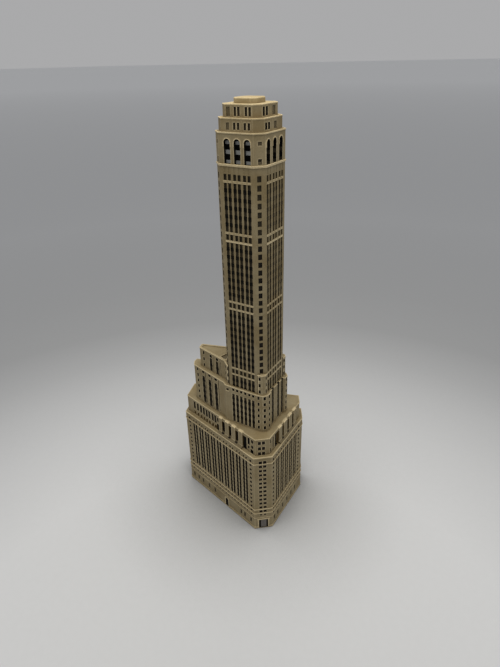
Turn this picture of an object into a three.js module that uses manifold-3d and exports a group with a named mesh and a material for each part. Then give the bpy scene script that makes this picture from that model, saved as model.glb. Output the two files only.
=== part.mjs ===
// Miniature landmark model: a souvenir tower that rises from a stepped block.
// It is a stack of separate castings on one steel tie rod, with dowels across the lower joints.
// Millimetres, +Z up. Plan points are measured from the tower's axis. The finished group is moved
// so that its origin is the middle of the base's bounding box, at table height.

import * as THREE from 'three';
import { mergeVertices } from 'three/addons/utils/BufferGeometryUtils.js';
import Module from 'manifold-3d';

const wasm = await Module();
wasm.setup();

// ------------------------------------------------------------------ driving dimensions

// Heights of the joints between the castings, in eighths of a millimetre so that they meet exactly.
const FELT_TOP = 1;
const STREET_BOTTOM = 0.25;
const STREET_TOP = 12.25;
const TERRACE = 51.625;
const BASE_TOP = 53.125;
const ATTIC_TOP = 63.75;
const LOWER_WING_TOP = 87;
const UPPER_WING_TOP = 98.875;
const SHAFT_LOWER_TOP = 131.5;
const SHAFT_MIDDLE_TOP = 166.125;
const SHAFT_TOP = 199.375;
const ARCADE_TOP = 212.25;
const LOWER_DRUM_TOP = 217.5;
const UPPER_DRUM_TOP = 222.5;
const CAP_TOP = 225;

// Plan outlines, anticlockwise from the left end of the long front.
const BASE_OUTLINE = [[-44.8, -8], [11.9, -23.2], [19.9, -16.6], [19.5, 20.9], [14.6, 29.25], [-49.6, 8.4]];
const ATTIC_SETBACKS = [2.75, 2.6, 2.5, 2.2, 2.4, 1.6];
const PARAPET_WIDTH = 0.9;
const LOWER_WING_OUTLINE = [
  [-37.3, -5], [-13, -11.7], [-10.7, -13.3], [8.9, -13.3], [12.1, -12.6], [13.9, -10.6], [13.9, -7.5],
  [13.1, -6.9], [13.1, 7.5], [14.2, 8.1], [14.2, 10.7], [12.1, 12.9], [8.9, 13.3], [-9, 13.3],
  [-12, 9.9], [-39.6, 1], [-39.3, -2],
];
const UPPER_WING_OUTLINE = [
  [-33.3, -3.9], [-13.6, -9], [-10.2, -11.9], [-8.9, -12.2], [-12.56, -8.5], [-12.56, 6.4], [-33.9, 0],
  [-34.2, -1.1],
];
const TURRET_OUTLINE = [[8.7, -12.4], [11.4, -12.3], [12.6, -11], [12.5, -8.6]];

// Tower: an octagon of four wide faces and four cut corners.
const TOWER_HALF = 12.26;
const CORNER_CUT = 3.84;
const ARCADE_HALF = 12.7;
const LOWER_DRUM_HALF = 11.3;
const UPPER_DRUM_HALF = 9.95;
const CAP_HALF = 5.4;

// Window strips: pairs of narrow upright recesses, one pair to a bay.
const STRIP_WIDTH = 1.2;
const STRIP_DEPTH = 0.7;
const BASE_BAY_PITCH = 5.375;
const BASE_STRIP_OFFSET = 1.1;
const TOWER_STRIP_OFFSET = 1.05;
const TOWER_BANDS = [94.5, 98.375, 131.5, 135.375, 166.125, 169.25, 192.25];
const BAND_HEIGHT = 1;
const TOWER_STRIPS_END = 195.75;

// Arcade: three round-headed arches to a face, over a glazed core.
const ARCH_WIDTH = 3;
const ARCH_SILL = 200.125;
const ARCH_HEIGHT = 9.5;
const ARCADE_WALL = 1.3;
const ARCADE_ROOF = 1.75;
const CORE_GAP = 0.3;
const CORE_BARS = [202.375, 206.25];
const CORE_BAR_HEIGHT = 1.5;
const CORE_BAR_DEPTH = 1.2;

// Fixings.
const ROD_RADIUS = 2;
const BORE_RADIUS = 2.3;
const ROD_BOTTOM = 2.25;
const ROD_TOP = 214.5;
const WASHER_RADIUS = 6;
const WASHER_BOTTOM = 7;
const WASHER_TOP = 8;
const NUT_BOTTOM = 3.875;
const NUT_ACROSS_FLATS = 7;
const COUNTERBORE_RADIUS = 7;
const DOWEL_RADIUS = 1.5;
const DOWEL_HOLE_RADIUS = 1.8;
const DOWEL_BELOW_JOINT = 4.25;
const DOWEL_ABOVE_JOINT = 3.75;
const FELT_MARGIN = 2.5;
const FITTING_GAP = 0.3;

const DOWELS = [
  { name: 'street_dowel', x: -35, y: 0, joint: STREET_TOP },
  { name: 'attic_dowel', x: -35, y: 0, joint: TERRACE },
  { name: 'lower_wing_dowel', x: -30, y: -1.5, joint: ATTIC_TOP },
  { name: 'upper_wing_dowel_outer', x: -28, y: -1.5, joint: LOWER_WING_TOP },
  { name: 'upper_wing_dowel_inner', x: -18, y: -1.5, joint: LOWER_WING_TOP },
];

// ------------------------------------------------------------------ materials

const castStone = new THREE.MeshStandardMaterial({ color: 0xbba780, roughness: 0.8, metalness: 0 });
const greyPane = new THREE.MeshStandardMaterial({ color: 0x9c9d98, roughness: 0.5, metalness: 0 });
const darkDoor = new THREE.MeshStandardMaterial({ color: 0x2b241c, roughness: 0.6, metalness: 0 });
const steel = new THREE.MeshStandardMaterial({ color: 0x9a9c9e, roughness: 0.35, metalness: 1 });
const felt = new THREE.MeshStandardMaterial({ color: 0x23261f, roughness: 1, metalness: 0 });

// ------------------------------------------------------------------ solids

function solidFrom(geometry) {
  const bare = geometry.clone();
  bare.deleteAttribute('normal');
  bare.deleteAttribute('uv');
  const merged = mergeVertices(bare, 1e-4);
  const mesh = new wasm.Mesh({
    numProp: 3,
    vertProperties: Float32Array.from(merged.attributes.position.array),
    triVerts: Uint32Array.from(merged.index.array),
  });
  return new wasm.Manifold(mesh);
}

function geometryFrom(solid) {
  const mesh = solid.getMesh();
  const geometry = new THREE.BufferGeometry();
  geometry.setAttribute('position', new THREE.BufferAttribute(mesh.vertProperties, 3));
  geometry.setIndex(new THREE.BufferAttribute(mesh.triVerts, 1));
  geometry.computeVertexNormals();
  return geometry;
}

function prism(outline, bottom, top) {
  const shape = new THREE.Shape(outline.map(([x, y]) => new THREE.Vector2(x, y)));
  const geometry = new THREE.ExtrudeGeometry(shape, { depth: top - bottom, bevelEnabled: false });
  geometry.translate(0, 0, bottom);
  return solidFrom(geometry);
}

function post(x, y, radius, bottom, top, sides = 16) {
  const geometry = new THREE.CylinderGeometry(radius, radius, top - bottom, sides);
  geometry.rotateX(Math.PI / 2);
  geometry.translate(x, y, (bottom + top) / 2);
  return solidFrom(geometry);
}

function rodBore(bottom, top) {
  return post(0, 0, BORE_RADIUS, bottom, top);
}

function joined(first, ...others) {
  return others.reduce((whole, piece) => whole.add(piece), first);
}

function cut(first, ...tools) {
  return tools.reduce((whole, tool) => whole.subtract(tool), first);
}

function dowelHoles(casting, joint) {
  const holes = DOWELS.filter((dowel) => dowel.joint === joint).map((dowel) =>
    post(dowel.x, dowel.y, DOWEL_HOLE_RADIUS, joint - DOWEL_BELOW_JOINT, joint + DOWEL_BELOW_JOINT));
  return cut(casting, ...holes);
}

// ------------------------------------------------------------------ outlines and walls

// A wall is one side of an outline: its start, its unit direction and its length.
function wall(outline, index) {
  const [x0, y0] = outline[index];
  const [x1, y1] = outline[(index + 1) % outline.length];
  const length = Math.hypot(x1 - x0, y1 - y0);
  return { x: x0, y: y0, dx: (x1 - x0) / length, dy: (y1 - y0) / length, length };
}

// The plan point at a distance along a wall and a depth into the solid behind it.
function wallPoint(side, along, depth) {
  return [side.x + side.dx * along - side.dy * depth, side.y + side.dy * along + side.dx * depth];
}

// Moves each wall of a convex outline inwards by its own setback.
function setBack(outline, setbacks) {
  return outline.map((_, index) => {
    const before = (index + outline.length - 1) % outline.length;
    const a = wall(outline, before);
    const b = wall(outline, index);
    const [ax, ay] = wallPoint(a, 0, setbacks[before]);
    const [bx, by] = wallPoint(b, 0, setbacks[index]);
    const along = ((bx - ax) * b.dy - (by - ay) * b.dx) / (a.dx * b.dy - a.dy * b.dx);
    return [ax + a.dx * along, ay + a.dy * along];
  });
}

function evenSetBack(outline, distance) {
  return setBack(outline, outline.map(() => distance));
}

// An outline with upright recesses in its walls. centres holds one list of distances per wall.
function recessedOutline(outline, centres, width, depth) {
  return outline.flatMap((corner, index) => {
    const side = wall(outline, index);
    const recesses = (centres[index] ?? []).flatMap((centre) => [
      wallPoint(side, centre - width / 2, 0),
      wallPoint(side, centre - width / 2, depth),
      wallPoint(side, centre + width / 2, depth),
      wallPoint(side, centre + width / 2, 0),
    ]);
    return [corner, ...recesses];
  });
}

// Distances of paired strips: one pair to each of count bays.
function pairedStrips(firstBay, count, pitch, offset) {
  return Array.from({ length: count }, (_, bay) => firstBay + bay * pitch)
    .flatMap((centre) => [centre - offset, centre + offset]);
}

function octagon(half, cornerCut = CORNER_CUT * half / TOWER_HALF) {
  const face = half - cornerCut;
  return [
    [-face, -half], [face, -half], [half, -face], [half, face],
    [face, half], [-face, half], [-half, face], [-half, -face],
  ];
}

// A block against a wall: it spans two distances along it and two depths into it.
function wallBlock(side, from, to, outer, inner, bottom, top) {
  return prism([
    wallPoint(side, from, outer), wallPoint(side, to, outer),
    wallPoint(side, to, inner), wallPoint(side, from, inner),
  ], bottom, top);
}

// A round-headed block against a wall.
function archedBlock(side, centre, width, sill, height, outer, inner) {
  const radius = width / 2;
  const shape = new THREE.Shape();
  shape.moveTo(-radius, 0);
  shape.lineTo(radius, 0);
  shape.lineTo(radius, height - radius);
  shape.absarc(0, height - radius, radius, 0, Math.PI, false);
  shape.closePath();
  const depth = inner - outer;
  const geometry = new THREE.ExtrudeGeometry(shape, { depth, bevelEnabled: false, curveSegments: 5 });
  const [x, y] = wallPoint(side, centre, inner);
  const alongWall = new THREE.Vector3(side.dx, side.dy, 0);
  const up = new THREE.Vector3(0, 0, 1);
  const outwards = new THREE.Vector3(side.dy, -side.dx, 0);
  geometry.applyMatrix4(new THREE.Matrix4().makeBasis(alongWall, up, outwards).setPosition(x, y, sill));
  return solidFrom(geometry);
}

// ------------------------------------------------------------------ base

const BASE_WALLS = BASE_OUTLINE.map((_, index) => wall(BASE_OUTLINE, index));
const [LONG_FRONT, CUT_CORNER, RIGHT_SIDE, REAR_CORNER, LONG_BACK, LEFT_END] = BASE_WALLS.keys();

const BASE_STRIPS = [];
BASE_STRIPS[LONG_FRONT] = [3.5, ...pairedStrips(8.6, 9, BASE_BAY_PITCH, BASE_STRIP_OFFSET), 56];
BASE_STRIPS[CUT_CORNER] = [3.8, 6.1];
BASE_STRIPS[RIGHT_SIDE] = [1.7, ...pairedStrips(6.8, 5, BASE_BAY_PITCH, BASE_STRIP_OFFSET), 33];
BASE_STRIPS[REAR_CORNER] = [3.7, 6];
BASE_STRIPS[LONG_BACK] = pairedStrips(6.9, 11, BASE_BAY_PITCH, BASE_STRIP_OFFSET);
BASE_STRIPS[LEFT_END] = pairedStrips(3.2, 3, BASE_BAY_PITCH, BASE_STRIP_OFFSET);

const SHOP_OPENINGS = [];
SHOP_OPENINGS[LONG_FRONT] = [3.5, 8, 13, 18.5, 24, 47.5, 51, 55.5];
SHOP_OPENINGS[RIGHT_SIDE] = [2.5, 7, 12.5, 18.5, 24, 29.5];
SHOP_OPENINGS[LONG_BACK] = [7, 12.4, 17.8, 23.2, 44, 49.4, 54.8, 60.2];
SHOP_OPENINGS[LEFT_END] = [3.2, 8.55, 13.9];

const ENTRANCE_PANEL = { from: 2.75, to: 7.55, bottom: 0.5, top: 6.5, thickness: 0.8, recess: 1.3 };
const FRONT_DOOR = { centre: 35, width: 3, sill: 0.75, height: 6, thickness: 0.8, recess: 1.3 };

function feltPad() {
  return prism(evenSetBack(BASE_OUTLINE, FELT_MARGIN), 0, FELT_TOP);
}

function streetStorey() {
  const shopBottom = 3.5;
  const shopTop = 7.25;
  const body = joined(
    prism(BASE_OUTLINE, STREET_BOTTOM, shopBottom),
    prism(recessedOutline(BASE_OUTLINE, SHOP_OPENINGS, 1.8, STRIP_DEPTH), shopBottom, shopTop),
    prism(BASE_OUTLINE, shopTop, STREET_TOP),
  );
  const panel = ENTRANCE_PANEL;
  const door = FRONT_DOOR;
  return dowelHoles(cut(
    body,
    prism(evenSetBack(BASE_OUTLINE, FELT_MARGIN - FITTING_GAP), 0, FELT_TOP),
    post(0, 0, COUNTERBORE_RADIUS, 0, WASHER_TOP),
    rodBore(0, STREET_TOP + 1),
    wallBlock(BASE_WALLS[CUT_CORNER], panel.from - FITTING_GAP, panel.to + FITTING_GAP,
      -1, panel.recess, panel.bottom, panel.top + FITTING_GAP),
    archedBlock(BASE_WALLS[LONG_FRONT], door.centre, door.width + 2 * FITTING_GAP, door.sill,
      door.height + FITTING_GAP, -1, door.recess),
  ), STREET_TOP);
}

function entrancePanel() {
  const panel = ENTRANCE_PANEL;
  const back = panel.recess - FITTING_GAP;
  return wallBlock(BASE_WALLS[CUT_CORNER], panel.from, panel.to, back - panel.thickness, back,
    panel.bottom, panel.top);
}

function frontDoor() {
  const door = FRONT_DOOR;
  const back = door.recess - FITTING_GAP;
  return archedBlock(BASE_WALLS[LONG_FRONT], door.centre, door.width, door.sill, door.height,
    back - door.thickness, back);
}

function baseBlock() {
  const stripsBottom = 16;
  const stripsTop = 48;
  const cornice = 52;
  const wallLine = evenSetBack(BASE_OUTLINE, 0.3);
  const body = joined(
    prism(wallLine, STREET_TOP, stripsBottom),
    prism(recessedOutline(wallLine, BASE_STRIPS, STRIP_WIDTH, STRIP_DEPTH), stripsBottom, stripsTop),
    prism(wallLine, stripsTop, cornice),
    prism(BASE_OUTLINE, cornice, BASE_TOP),
  );
  const terrace = prism(evenSetBack(BASE_OUTLINE, PARAPET_WIDTH), TERRACE, BASE_TOP + 1);
  const bored = cut(body, terrace, rodBore(STREET_TOP - 1, BASE_TOP + 1));
  return dowelHoles(dowelHoles(bored, STREET_TOP), TERRACE);
}

// ------------------------------------------------------------------ attic storey

const ATTIC_OUTLINE = setBack(BASE_OUTLINE, ATTIC_SETBACKS);
const ATTIC_WALLS = ATTIC_OUTLINE.map((_, index) => wall(ATTIC_OUTLINE, index));

const ATTIC_WINDOWS = [];
ATTIC_WINDOWS[LONG_FRONT] = [6.5, 9, 12.2, 14.3, 17.5, 19.7, 23, 25.3, 31.9, 37.35, 42.85, 49.6, 51.8];
ATTIC_WINDOWS[CUT_CORNER] = [2.4, 4.6];
ATTIC_WINDOWS[RIGHT_SIDE] = [3.5, 6.5, 14, 19.5, 25, 31.5];
ATTIC_WINDOWS[LONG_BACK] = pairedStrips(6.4, 10, BASE_BAY_PITCH, BASE_STRIP_OFFSET);
ATTIC_WINDOWS[LEFT_END] = pairedStrips(4.5, 2, BASE_BAY_PITCH, BASE_STRIP_OFFSET);

// Buttresses stand on the terrace, against the attic walls and between their tall windows.
const BUTTRESSES = [
  { side: LONG_FRONT, from: 27.4, to: 31 },
  { side: LONG_FRONT, from: 32.8, to: 36.4 },
  { side: LONG_FRONT, from: 38.3, to: 41.9 },
  { side: LONG_FRONT, from: 43.8, to: 48.8 },
  { side: RIGHT_SIDE, from: 7.8, to: 12.8 },
  { side: RIGHT_SIDE, from: 15.2, to: 18.4 },
  { side: RIGHT_SIDE, from: 20.7, to: 23.9 },
  { side: RIGHT_SIDE, from: 26.2, to: 29.4 },
];
const BUTTRESS_PROJECTION = 1;
const BUTTRESS_TOP = 63.25;

function buttress({ side, from, to }) {
  return wallBlock(ATTIC_WALLS[side], from, to, -BUTTRESS_PROJECTION, 1, TERRACE, BUTTRESS_TOP);
}

function atticStorey() {
  const windowsBottom = 55;
  const windowsTop = 62;
  const body = joined(
    prism(ATTIC_OUTLINE, TERRACE, windowsBottom),
    prism(recessedOutline(ATTIC_OUTLINE, ATTIC_WINDOWS, STRIP_WIDTH, STRIP_DEPTH),
      windowsBottom, windowsTop),
    prism(ATTIC_OUTLINE, windowsTop, ATTIC_TOP),
    ...BUTTRESSES.map(buttress),
  );
  const bored = cut(body, rodBore(TERRACE - 1, ATTIC_TOP + 1));
  return dowelHoles(dowelHoles(bored, TERRACE), ATTIC_TOP);
}

// ------------------------------------------------------------------ wings

// Lists run in the order of the outline's walls.
const LOWER_WING_STRIPS = [[2.9, 8, 9.7, 13.4, 15.1, 18.6, 20.4], [], [5, 7.4, 9.9, 12.4, 14.9, 17.2]];
LOWER_WING_STRIPS[7] = [3.8, 9.1, 13.5];
LOWER_WING_STRIPS[12] = [3.7, 5.8, 8.5, 10.6, 13.3, 15.4];
LOWER_WING_STRIPS[14] = [5, 7, 11, 13, 17, 19, 23, 25];
const UPPER_WING_STRIPS = [[3.3, 9.3, 11, 14.5, 16.2]];
UPPER_WING_STRIPS[5] = [5, 7, 11, 13, 17, 19];

function lowerWing() {
  const stripsBottom = 65.25;
  const stripsTop = 83;
  const fluted = recessedOutline(LOWER_WING_OUTLINE, LOWER_WING_STRIPS, STRIP_WIDTH, STRIP_DEPTH);
  const body = joined(
    prism(LOWER_WING_OUTLINE, ATTIC_TOP, stripsBottom),
    prism(fluted, stripsBottom, stripsTop),
    prism(LOWER_WING_OUTLINE, stripsTop, LOWER_WING_TOP),
  );
  const bored = cut(body, rodBore(ATTIC_TOP - 1, LOWER_WING_TOP + 1));
  return dowelHoles(dowelHoles(bored, ATTIC_TOP), LOWER_WING_TOP);
}

const WING_ROOF_DROP = 0.75;
const WING_ROOF = UPPER_WING_TOP - WING_ROOF_DROP;
const WING_ROOF_SUNK = [[-32.4, -3.2], [-13.4, -8], [-13.4, 5.1], [-32.6, -0.7]];
const ROOF_WELL = [[-17, -5.6], [-13.4, -6.4], [-13.4, -1.5], [-15.8, -1.5]];
const ROOF_WELL_DEPTH = 1.5;

function upperWing() {
  const stripsBottom = 87.75;
  const stripsTop = 95;
  const fluted = recessedOutline(UPPER_WING_OUTLINE, UPPER_WING_STRIPS, STRIP_WIDTH, STRIP_DEPTH);
  const body = joined(
    prism(UPPER_WING_OUTLINE, LOWER_WING_TOP, stripsBottom),
    prism(fluted, stripsBottom, stripsTop),
    prism(UPPER_WING_OUTLINE, stripsTop, UPPER_WING_TOP),
  );
  const sunkRoof = prism(WING_ROOF_SUNK, WING_ROOF, UPPER_WING_TOP + 1);
  const well = prism(ROOF_WELL, WING_ROOF - ROOF_WELL_DEPTH, UPPER_WING_TOP);
  return dowelHoles(cut(body, sunkRoof, well), LOWER_WING_TOP);
}

function cornerTurret(mirror) {
  const outline = TURRET_OUTLINE.map(([x, y]) => [x, mirror * y]);
  return prism(outline, LOWER_WING_TOP, UPPER_WING_TOP);
}

// ------------------------------------------------------------------ tower

// Distances along the four wide faces: front, right, back and left. The front and right bays sit
// nearer the corner that they share.
const TOWER_STRIPS = [];
TOWER_STRIPS[0] = pairedStrips(4.1, 3, 4.8, TOWER_STRIP_OFFSET);
TOWER_STRIPS[2] = pairedStrips(2.4, 3, 5.3, TOWER_STRIP_OFFSET + 0.1);
TOWER_STRIPS[4] = pairedStrips(3.6, 3, 4.8, TOWER_STRIP_OFFSET);
TOWER_STRIPS[6] = pairedStrips(3.6, 3, 4.8, TOWER_STRIP_OFFSET);

function towerShaft(bottom, top) {
  const outline = octagon(TOWER_HALF);
  const stripsTop = Math.min(top, TOWER_STRIPS_END);
  const bands = TOWER_BANDS.filter((band) => band >= bottom && band < top)
    .map((band) => prism(outline, band, band + BAND_HEIGHT));
  const plainTop = top > stripsTop ? [prism(outline, stripsTop, top)] : [];
  const fluted = prism(recessedOutline(outline, TOWER_STRIPS, STRIP_WIDTH, STRIP_DEPTH), bottom, stripsTop);
  return cut(joined(fluted, ...bands, ...plainTop), rodBore(bottom - 1, top + 1));
}

const ARCH_CENTRES = {
  0: [4.35, 9.2, 14.05],
  2: [1.9, 7.35, 12.8],
  4: [3.9, 8.75, 13.6],
  6: [3.9, 8.75, 13.6],
};

function arcadeStorey() {
  const outline = octagon(ARCADE_HALF);
  const hollowTop = ARCADE_TOP - ARCADE_ROOF;
  const arches = Object.entries(ARCH_CENTRES).flatMap(([index, centres]) => {
    const face = wall(outline, Number(index));
    return centres.map((centre) =>
      archedBlock(face, centre, ARCH_WIDTH, ARCH_SILL, ARCH_HEIGHT, -1, ARCADE_WALL + 0.1));
  });
  return cut(
    prism(outline, SHAFT_TOP, ARCADE_TOP),
    prism(octagon(ARCADE_HALF - ARCADE_WALL), SHAFT_TOP - 1, hollowTop),
    rodBore(hollowTop - 1, ARCADE_TOP + 1),
    ...arches,
  );
}

function glazingCore() {
  const top = ARCADE_TOP - ARCADE_ROOF - CORE_GAP;
  const half = ARCADE_HALF - ARCADE_WALL - CORE_GAP;
  const spine = prism(octagon(half - CORE_BAR_DEPTH), SHAFT_TOP, top);
  const paneBottoms = [SHAFT_TOP, ...CORE_BARS.map((bar) => bar + CORE_BAR_HEIGHT)];
  const paneTops = [...CORE_BARS, top];
  const panes = paneBottoms.map((bottom, index) => prism(octagon(half), bottom, paneTops[index]));
  return cut(joined(spine, ...panes), rodBore(SHAFT_TOP - 1, top + 1));
}

// ------------------------------------------------------------------ crown

function drum(half, bottom, top, windowsFrom, windowsTo) {
  const outline = octagon(half);
  const bays = pairedStrips(half * 0.22, 3, half * 0.46, 0.7).filter((centre) => centre > 0.8);
  const windows = [bays, [], bays, [], bays, [], bays, []];
  return joined(
    prism(outline, bottom, windowsFrom),
    prism(recessedOutline(outline, windows, 0.8, 0.6), windowsFrom, windowsTo),
    prism(outline, windowsTo, top),
  );
}

function lowerDrum() {
  const blindBore = post(0, 0, BORE_RADIUS, ARCADE_TOP - 1, ROD_TOP + 0.5);
  return cut(drum(LOWER_DRUM_HALF, ARCADE_TOP, LOWER_DRUM_TOP, 212.75, 214.75), blindBore);
}

function upperDrum() {
  return drum(UPPER_DRUM_HALF, LOWER_DRUM_TOP, UPPER_DRUM_TOP, 218, 220.75);
}

function roofCap() {
  return prism(octagon(CAP_HALF), UPPER_DRUM_TOP, CAP_TOP);
}

// ------------------------------------------------------------------ fixings

function tieRod() {
  return post(0, 0, ROD_RADIUS, ROD_BOTTOM, ROD_TOP);
}

function washer() {
  const disc = post(0, 0, WASHER_RADIUS, WASHER_BOTTOM, WASHER_TOP);
  return cut(disc, rodBore(WASHER_BOTTOM - 1, WASHER_TOP + 1));
}

function nut() {
  const cornerRadius = NUT_ACROSS_FLATS / Math.sqrt(3);
  const hexagon = post(0, 0, cornerRadius, NUT_BOTTOM, WASHER_BOTTOM, 6);
  return cut(hexagon, rodBore(NUT_BOTTOM - 1, WASHER_BOTTOM + 1));
}

function dowelPin({ x, y, joint }) {
  return post(x, y, DOWEL_RADIUS, joint - DOWEL_BELOW_JOINT, joint + DOWEL_ABOVE_JOINT);
}

// ------------------------------------------------------------------ assembly

const model = new THREE.Group();

function addPart(name, solid, material) {
  const mesh = new THREE.Mesh(geometryFrom(solid), material);
  mesh.name = name;
  model.add(mesh);
}

addPart('base_felt_pad', feltPad(), felt);
addPart('street_storey', streetStorey(), castStone);
addPart('corner_entrance_panel', entrancePanel(), greyPane);
addPart('front_entrance_door', frontDoor(), darkDoor);
addPart('base_block', baseBlock(), castStone);
addPart('attic_storey', atticStorey(), castStone);
addPart('lower_wing', lowerWing(), castStone);
addPart('upper_wing', upperWing(), castStone);
addPart('front_corner_turret', cornerTurret(1), castStone);
addPart('rear_corner_turret', cornerTurret(-1), castStone);
addPart('tower_shaft_lower', towerShaft(LOWER_WING_TOP, SHAFT_LOWER_TOP), castStone);
addPart('tower_shaft_middle', towerShaft(SHAFT_LOWER_TOP, SHAFT_MIDDLE_TOP), castStone);
addPart('tower_shaft_upper', towerShaft(SHAFT_MIDDLE_TOP, SHAFT_TOP), castStone);
addPart('arcade_storey', arcadeStorey(), castStone);
addPart('arcade_glazing_core', glazingCore(), greyPane);
addPart('crown_drum_lower', lowerDrum(), castStone);
addPart('crown_drum_upper', upperDrum(), castStone);
addPart('roof_cap', roofCap(), castStone);
addPart('tie_rod', tieRod(), steel);
addPart('tie_rod_washer', washer(), steel);
addPart('tie_rod_nut', nut(), steel);
DOWELS.forEach((dowel) => addPart(dowel.name, dowelPin(dowel), steel));

const plan = new THREE.Box2().setFromPoints(BASE_OUTLINE.map(([x, y]) => new THREE.Vector2(x, y)));
const middle = plan.getCenter(new THREE.Vector2());
model.position.set(-middle.x, -middle.y, 0);

export default model;
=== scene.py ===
"""Looks of a miniature landmark model: a tan cast souvenir tower that rises from a stepped block."""
import math

import bmesh
import bpy
from mathutils import Matrix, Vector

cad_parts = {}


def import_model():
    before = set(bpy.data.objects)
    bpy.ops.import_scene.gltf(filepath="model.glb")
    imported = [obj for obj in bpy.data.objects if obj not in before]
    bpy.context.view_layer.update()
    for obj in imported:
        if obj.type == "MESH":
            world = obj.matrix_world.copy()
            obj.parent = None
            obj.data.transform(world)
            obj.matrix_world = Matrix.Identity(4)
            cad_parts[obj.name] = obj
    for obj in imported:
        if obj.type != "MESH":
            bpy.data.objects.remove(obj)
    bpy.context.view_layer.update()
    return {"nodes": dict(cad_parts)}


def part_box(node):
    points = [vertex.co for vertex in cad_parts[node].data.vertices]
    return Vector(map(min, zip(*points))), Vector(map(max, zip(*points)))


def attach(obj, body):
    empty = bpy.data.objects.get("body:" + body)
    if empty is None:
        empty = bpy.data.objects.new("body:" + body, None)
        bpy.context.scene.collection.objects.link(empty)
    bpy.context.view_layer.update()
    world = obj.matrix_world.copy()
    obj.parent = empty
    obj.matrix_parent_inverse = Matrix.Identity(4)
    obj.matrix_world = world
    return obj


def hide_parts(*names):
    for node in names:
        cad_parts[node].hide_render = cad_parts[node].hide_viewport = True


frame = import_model()

# Plan points and heights in this file are in millimetres, measured from the tower's axis.
MM = 0.001
ROD_LOW, ROD_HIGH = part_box("tie_rod")
AXIS = (ROD_LOW + ROD_HIGH) / 2 / MM


def bottom_of(node):
    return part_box(node)[0].z / MM


def top_of(node):
    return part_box(node)[1].z / MM


# ---- dimensions

BASE_OUTLINE = [(-44.8, -8), (11.9, -23.2), (19.9, -16.6), (19.5, 20.9), (14.6, 29.25), (-49.6, 8.4)]
FRONT, CORNER, RIGHT, REAR_CORNER, BACK, LEFT = range(6)
ATTIC_SETBACKS = (2.75, 2.6, 2.5, 2.2, 2.4, 1.6)
LOWER_WING_OUTLINE = [
    (-37.3, -5), (-13, -11.7), (-10.7, -13.3), (8.9, -13.3), (12.1, -12.6), (13.9, -10.6), (13.9, -7.5),
    (13.1, -6.9), (13.1, 7.5), (14.2, 8.1), (14.2, 10.7), (12.1, 12.9), (8.9, 13.3), (-9, 13.3),
    (-12, 9.9), (-39.6, 1), (-39.3, -2),
]
UPPER_WING_OUTLINE = [
    (-33.3, -3.9), (-13.6, -9), (-10.2, -11.9), (-8.9, -12.2), (-12.56, -8.5), (-12.56, 6.4),
    (-33.9, 0), (-34.2, -1.1),
]
TURRET_OUTLINE = [(8.7, -12.4), (11.4, -12.3), (12.6, -11), (12.5, -8.6)]
TOWER_HALF = 12.26
CORNER_CUT = 3.84
ARCADE_HALF = 12.35
LOWER_DRUM_HALF = 11.1
UPPER_DRUM_HALF = 9.5
CAP_HALF = 5.5
CAP_CUT = 1.9

STREET_TOP = top_of("street_storey")
TERRACE = bottom_of("attic_storey")
BASE_TOP = top_of("base_block")
ATTIC_TOP = top_of("attic_storey")
LOWER_WING_TOP = top_of("lower_wing")
UPPER_WING_TOP = top_of("upper_wing")
SHAFT_TOP = top_of("tower_shaft_upper")
ARCADE_TOP = top_of("arcade_storey")

# Storeys of the base and of the tower: the height of window rows and their spacing.
BASE_ROW = 13.55
BASE_STOREY = 3.04
TOWER_LINE = 87.3
TOWER_STOREY = 3.76
BAY = 5.375
PAIR_OFFSET = 1.1
STRIP = 1.35
STRIP_DEPTH = 0.65
SPANDREL_DEPTH = 0.35

# How round the edges of the castings are.
EDGE = 0.06
DRUM_EDGE = 0.22
CAP_EDGE = 0.2

# The parapet's thickness and the height of the roof behind it.
PARAPET = 0.68
ROOF_EDGE = 52.95

# Distances below this one count as nothing.
TOUCH = 0.001
# How many flat pieces make each round shape.
ARCH_SLICES = 8
HOOD_SLICES = 12
DOOR_SLICES = 16
BORE_SIDES = 24

BORE = 2.3
ROD_TOP = top_of("tie_rod")
DOWEL_HOLE = 1.8
DOWEL_REACH = 4.25

# ---- plan geometry


class Wall:
    """One side of an outline: its start, its unit direction and its length."""

    def __init__(self, start, end):
        self.x, self.y = start
        self.length = math.dist(start, end)
        self.dx = (end[0] - start[0]) / self.length
        self.dy = (end[1] - start[1]) / self.length

    def point(self, along, depth):
        x = self.x + self.dx * along - self.dy * depth
        return x, self.y + self.dy * along + self.dx * depth


def walls_of(outline):
    return [Wall(a, b) for a, b in zip(outline, outline[1:] + outline[:1])]


def corner_point(before, after, depth, depth_after):
    """Where two neighbouring walls meet when each is moved inwards by its depth."""
    ax, ay = before.point(before.length, depth)
    bx, by = after.point(0, depth_after)
    turn = before.dx * after.dy - before.dy * after.dx
    if abs(turn) < 1e-6:
        return ax, ay
    along = ((bx - ax) * after.dy - (by - ay) * after.dx) / turn
    return ax + before.dx * along, ay + before.dy * along


def set_back(walls, depths):
    """The corners of these walls when each is moved inwards by its own depth."""
    return [corner_point(walls[k - 1], walls[k], depths[k - 1], depths[k]) for k in range(len(walls))]


def octagon(half, cut_share=CORNER_CUT / TOWER_HALF):
    """A square outline with its corners cut, each by this share of half a side."""
    face = half * (1 - cut_share)
    return [
        (-face, -half), (face, -half), (half, -face), (half, face),
        (face, half), (-face, half), (-half, face), (-half, -face),
    ]


def half_turn(slices):
    """Even angles from nothing to half a turn."""
    return [math.pi * k / slices for k in range(slices + 1)]


def middles(marks):
    return [(a + b) / 2 for a, b in zip(marks, marks[1:])]


def pairs(first, count, pitch, offset):
    """Distances along a wall, two in each bay, a little before and after its middle."""
    return [first + bay * pitch + side * offset for bay in range(count) for side in (-1, 1)]


# ---- finishes


def grey(level):
    return (level, level, level)


def shaded(colour, shade):
    return tuple(value * shade for value in colour)


def tones(one, other):
    """Two close tones, as the stops of a ramp over noise."""
    return [(0.3, one), (0.7, other)]


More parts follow.
